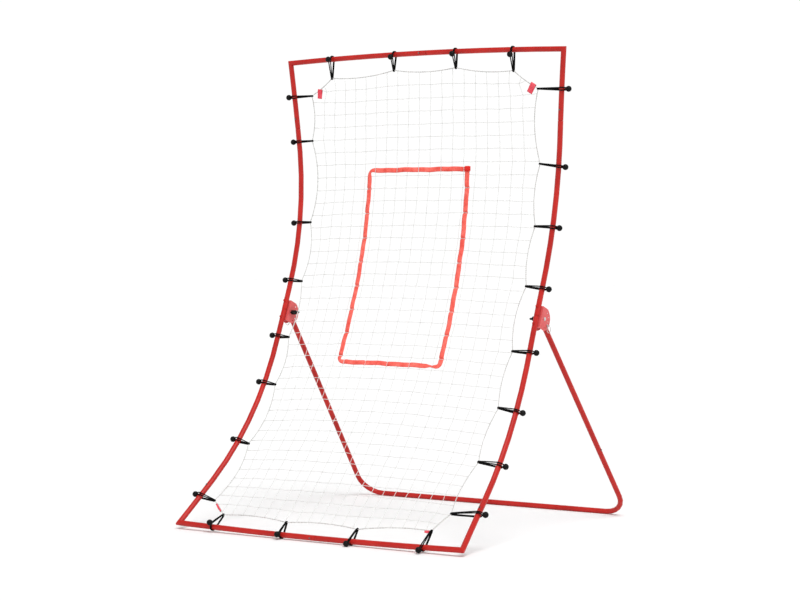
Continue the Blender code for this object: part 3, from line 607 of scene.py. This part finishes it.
def build_ribbon():
    """One length of tape round the strike zone, narrowed at three places, its ends overlapped."""
    corners = [RIBBON_TOP_RIGHT + Vector((RIBBON_OVER, 0)), RIBBON_TOP_LEFT, RIBBON_LOW_LEFT,
               RIBBON_LOW_RIGHT, RIBBON_TOP_RIGHT + Vector((0, RIBBON_OVER))]
    path = rounded(corners, RIBBON_BEND, RIBBON_STEP)
    run, length = 0.0, sum((b - a).length for a, b in zip(path, path[1:]))
    verts, faces = [], []
    for index, point in enumerate(path):
        before, after = path[max(index - 1, 0)], path[min(index + 1, len(path) - 1)]
        along = (after - before).normalized()
        across = Vector((-along.y, along.x))
        narrow = 1 - sum(depth * math.exp(-((point - fold).length / reach) ** 2)
                         for fold, depth, reach in RIBBON_FOLDS)
        middle = point + across * sum(size * math.sin(run * rate + phase)
                                      for size, rate, phase in RIBBON_WAVES)
        dip = math.exp(-(gap_to_strand(point, along) / DIP_REACH) ** 2)
        base = RIBBON_LIFT - DIP_DEPTH * dip + OVERLAP_RISE * max(0.0, 1 - (length - run) / OVERLAP_RUN)
        for layer in (0.5, -0.5):
            for lane in RIBBON_LANES:
                where = middle + across * (lane * RIBBON_W * narrow)
                crown = RIBBON_CROWN * (1 - (2 * lane) ** 2) * (1 - dip)
                tilt = (1 - narrow) * FOLD_TILT * (lane + 0.5)
                verts.append(net_position(where.x, where.y, base + crown + tilt + layer * RIBBON_THICK))
        run += (after - point).length
    lanes = len(RIBBON_LANES)
    row = 2 * lanes
    loop = list(range(lanes)) + list(range(row - 1, lanes - 1, -1))
    for index in range(len(path) - 1):
        for a, b in zip(loop, loop[1:] + loop[:1]):
            low, high = index * row, (index + 1) * row
            faces.append((low + a, low + b, high + b, high + a))
    faces.append(tuple(loop[::-1]))
    faces.append(tuple((len(path) - 1) * row + k for k in loop))
    shape = Shape()
    shape.add(verts, faces)
    ribbon = shape.piece("ribbon", "ribbon")
    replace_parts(ribbon, "strike_zone_ribbon")


def build_ribbon_patch():
    """The tape's loose end, turned under and sewn flat over the overlap."""
    centre = RIBBON_TOP_RIGHT + PATCH_SHIFT
    columns, rows = 7, 6
    verts, faces = [], []
    for layer in (0.5, -0.5):
        for row in range(rows):
            for column in range(columns):
                u, v = column / (columns - 1) - 0.5, row / (rows - 1) - 0.5
                pillow = PATCH_PILLOW * (1 - (2 * u) ** 4) * (1 - (2 * v) ** 4)
                x = centre.x + u * PATCH_SIZE[0]
                s = centre.y + v * PATCH_SIZE[1] + u * PATCH_SKEW
                verts.append(net_position(x, s, PATCH_LIFT + pillow + layer * RIBBON_THICK))
    size = rows * columns
    for row in range(rows - 1):
        for column in range(columns - 1):
            a = row * columns + column
            faces.append((a, a + 1, a + columns + 1, a + columns))
            faces.append((size + a, size + a + columns, size + a + columns + 1, size + a + 1))
    rim = [(0, c) for c in range(columns)] + [(r, columns - 1) for r in range(1, rows)]
    rim += [(rows - 1, c) for c in range(columns - 2, -1, -1)] + [(r, 0) for r in range(rows - 2, 0, -1)]
    rim = [r * columns + c for r, c in rim]
    for a, b in zip(rim, rim[1:] + rim[:1]):
        faces.append((b, a, size + a, size + b))
    shape = Shape()
    shape.add(verts, faces)
    shape.piece("ribbon_patch", "patch")


# ---- Corner tags ---------------------------------------------------------------------------------
def tag_section(t, height):
    """A tag's fold at t from -1 to 1, as (reach, out): round the cord, then its two layers together."""
    side = 1 if t > 0 else -1
    share = abs(t)
    if share < TAG_FOLD:
        turn = math.pi * share / (2 * TAG_FOLD)
        return -TAG_R * math.cos(turn), side * TAG_R * math.sin(turn)
    run = (share - TAG_FOLD) / (1 - TAG_FOLD)
    return run * height, side * (TAG_THICK + (TAG_R - TAG_THICK) * (1 - run) ** 2)


def build_tag(name, place, turn, width, height, twist=0.0):
    """A fabric tag folded over the border cord: turn in degrees in the net's plane, twist in radians."""
    centre = surface(*place)
    face = front_normal(place[1])
    turn = math.radians(turn)
    right = Vector((1, 0, 0)) * math.cos(turn) + up_tangent(place[1]) * math.sin(turn)
    columns, steps = 11, 17
    verts, faces = [], []
    for column in range(columns):
        u = column / (columns - 1) - 0.5
        spin = Matrix.Rotation(twist * u, 3, right)
        down = spin @ right.cross(face)
        out_way = spin @ face
        for step in range(steps):
            reach, out = tag_section(2 * step / (steps - 1) - 1, height)
            ripple = TAG_RIPPLE * math.sin(u * 9 + step * 0.5)
            verts.append(centre + right * (u * width) + down * reach + out_way * (out + ripple))
    for column in range(columns - 1):
        for step in range(steps - 1):
            a = column * steps + step
            faces.append((a, a + 1, a + steps + 1, a + steps))
    shape = Shape()
    shape.add(verts, faces)
    obj = shape.piece(name, "tag")
    cloth = obj.modifiers.new("cloth", "SOLIDIFY")
    cloth.thickness = TAG_THICK
    cloth.offset = 0.0


def build_tags():
    """The four corner tags: name, place, turn, width and height."""
    build_tag("tag_top_left", (-0.470, 1.858), -8, 0.019, 0.033)
    build_tag("tag_top_right", (0.477, 1.846), -32, 0.022, 0.036)
    build_tag("tag_bottom_left", (-0.477, 0.090), -40, 0.050, 0.005, twist=4.5)
    build_tag("tag_bottom_right", (0.434, 0.068), 12, 0.018, 0.007, twist=1.2)


# ---- Ball bungees --------------------------------------------------------------------------------
def clear_of_ground(swing, tube_point, out, front):
    """The first angle from swing, in degrees to the front, at which a ball is above the ground."""
    for degrees in range(swing, 180):
        turn = math.radians(degrees)
        if tube_point.z + (out * math.cos(turn) + front * math.sin(turn)).z * BALL_OUT > BALL_R:
            return degrees
    return swing


def ball(centre, axis):
    """A moulded ball: parting line round its middle and a dimple where the cord goes in."""
    edit = bmesh.new()
    bmesh.ops.create_uvsphere(edit, u_segments=24, v_segments=16, radius=BALL_R)
    for vert in edit.verts:
        flat = math.hypot(vert.co.x, vert.co.y) / BALL_R
        if vert.co.z < -0.8 * BALL_R:
            vert.co.z += BALL_R * DIMPLE[0] * max(0.0, 1 - flat / DIMPLE[1])
        if abs(vert.co.z) < 0.05 * BALL_R:
            vert.co.x *= SEAM
            vert.co.y *= SEAM
    turn = axis.to_track_quat("Z", "Y").to_matrix().to_4x4()
    bmesh.ops.transform(edit, matrix=Matrix.Translation(centre) @ turn, verts=edit.verts)
    verts = [vert.co.copy() for vert in edit.verts]
    faces = [tuple(vert.index for vert in face.verts) for face in edit.faces]
    edit.free()
    return verts, faces


def build_bungee(name, tube_point, tip, face, swing, rand):
    """Ball and doubled elastic: behind the tube, round the border cord and back to the ball's neck."""
    out = (tube_point - tip).normalized()
    front = (face - out * face.dot(out)).normalized()
    side = out.cross(front)
    swing = clear_of_ground(swing, tube_point, out, front)

    def polar(radius, degrees, shift=0.0):
        turn = math.radians(degrees)
        return tube_point + (out * math.cos(turn) + front * math.sin(turn)) * radius + side * shift

    centre = polar(BALL_OUT, swing)
    spine = (centre - tube_point).normalized()
    flank = (polar(1.0, swing + 90) - tube_point).normalized()
    neck = centre - spine * (BALL_R * NECK)
    lean = rand.uniform(-CORD_LEAN, CORD_LEAN)
    open_by = rand.uniform(*CORD_OPENING)
    meets = swing - LOOP_START
    shape = Shape()
    for hand in (-1, 1):
        gap = hand * STRAND_GAP
        path = [neck + side * gap * 0.5]
        path += [polar(LOOP_R, meets + (LOOP_END - meets) * step / LOOP_STEPS, gap + lean)
                 for step in range(LOOP_STEPS + 1)]
        for outward, forward, beside in TIP_TURN:
            path.append(tip + out * outward + front * forward + side * gap * beside)
        spread = hand * open_by
        if swing < FRONT_SWING:
            path += [polar(LOOP_R + rise, degrees, spread) for rise, degrees in FRONT_RUN]
        path.append(neck + flank * NECK_FLANK + side * spread)
        path.append(neck - spine * NECK_END[0] - flank * NECK_END[1] + side * spread * 0.4)
        shape.add(*tube(smooth(path, 2), CORD_R, 8))
    shape.piece(name + "_cord", "elastic")
    shape = Shape()
    shape.add(*ball(centre, spine))
    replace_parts(shape.piece(name + "_ball", "ball"), name)


def build_bungees():
    """Eight bungees on each side rail, and four on each end bar."""
    rand = random.Random(5)
    zeros = (0,) * len(LEFT_HOOKS)
    groups = (("left", [rail_point(-1, s) for s in LEFT_HOOKS], LEFT_TIPS, zeros),
              ("right", [rail_point(1, s) for s in RIGHT_HOOKS], RIGHT_TIPS, zeros),
              ("top", [top_bar_point(x) for x in TOP_HOOKS], TOP_TIPS, TOP_SWINGS),
              ("bottom", [bottom_bar_point(x) for x in BOTTOM_HOOKS], BOTTOM_TIPS, BOTTOM_SWINGS))
    for label, points, tips, swings in groups:
        for number, (point, tip, swing) in enumerate(zip(points, tips, swings), start=1):
            name = f"bungee_{label}_{number}"
            build_bungee(name, point, surface(*tip), front_normal(tip[1]), swing, rand)


# ---- Stage, light and camera ---------------------------------------------------------------------
def build_floor():
    """A plain white floor."""
    half = FLOOR_HALF
    mesh = bpy.data.meshes.new("floor")
    corners = [(-half, -half, 0), (half, -half, 0), (half, half, 0), (-half, half, 0)]
    mesh.from_pydata(corners, [], [(0, 1, 2, 3)])
    made = Nodes("floor_white", Roughness=0.9, Specular_IOR_Level=0.1)
    made.color(made.noise(0.6), (0.3, (0.925, 0.925, 0.925)), (0.7, (0.935, 0.935, 0.935)))
    mesh.materials.append(made.material)
    floor = bpy.data.objects.new("floor", mesh)
    bpy.context.scene.collection.objects.link(floor)


def build_light():
    """White studio: walls that are white low down and dimmer overhead, under one broad soft light."""
    world = bpy.data.worlds.new("studio")
    bpy.context.scene.world = world
    world.use_nodes = True
    tree = world.node_tree
    direction = tree.nodes.new("ShaderNodeTexCoord")
    split = tree.nodes.new("ShaderNodeSeparateXYZ")
    strength = tree.nodes.new("ShaderNodeMapRange")
    strength.inputs["From Min"].default_value = WALL_HEIGHTS[0]
    strength.inputs["From Max"].default_value = WALL_HEIGHTS[1]
    strength.inputs["To Min"].default_value = WALL_STRENGTHS[0]
    strength.inputs["To Max"].default_value = WALL_STRENGTHS[1]
    tree.links.new(direction.outputs["Generated"], split.inputs["Vector"])
    tree.links.new(split.outputs["Z"], strength.inputs["Value"])
    tree.links.new(strength.outputs["Result"], tree.nodes["Background"].inputs["Strength"])
    tree.nodes["Background"].inputs["Color"].default_value = (1.0, 1.0, 1.0, 1.0)
    data = bpy.data.lights.new("softbox", "SUN")
    data.angle = SOFTBOX_SPREAD
    data.energy = SOFTBOX_STRENGTH
    light = bpy.data.objects.new("softbox", data)
    light.rotation_euler = SOFTBOX_DIRECTION.to_track_quat("-Z", "Y").to_euler()
    bpy.context.scene.collection.objects.link(light)


def build_camera():
    """The viewpoint in front of the net, to the right."""
    data = bpy.data.cameras.new("camera")
    data.sensor_width = CAMERA_SENSOR
    data.lens = CAMERA_LENS
    data.clip_end = VIEW_DEPTH
    camera = bpy.data.objects.new("camera", data)
    camera.location = CAMERA_PLACE
    camera.rotation_euler = (CAMERA_TILT, 0.0, CAMERA_TURN)
    bpy.context.scene.collection.objects.link(camera)
    bpy.context.scene.camera = camera


finish_cad()
build_border()
build_net()
build_ribbon()
build_ribbon_patch()
build_tags()
build_bungees()
build_floor()
build_light()
build_camera()
bpy.context.scene.view_settings.view_transform = "Standard"
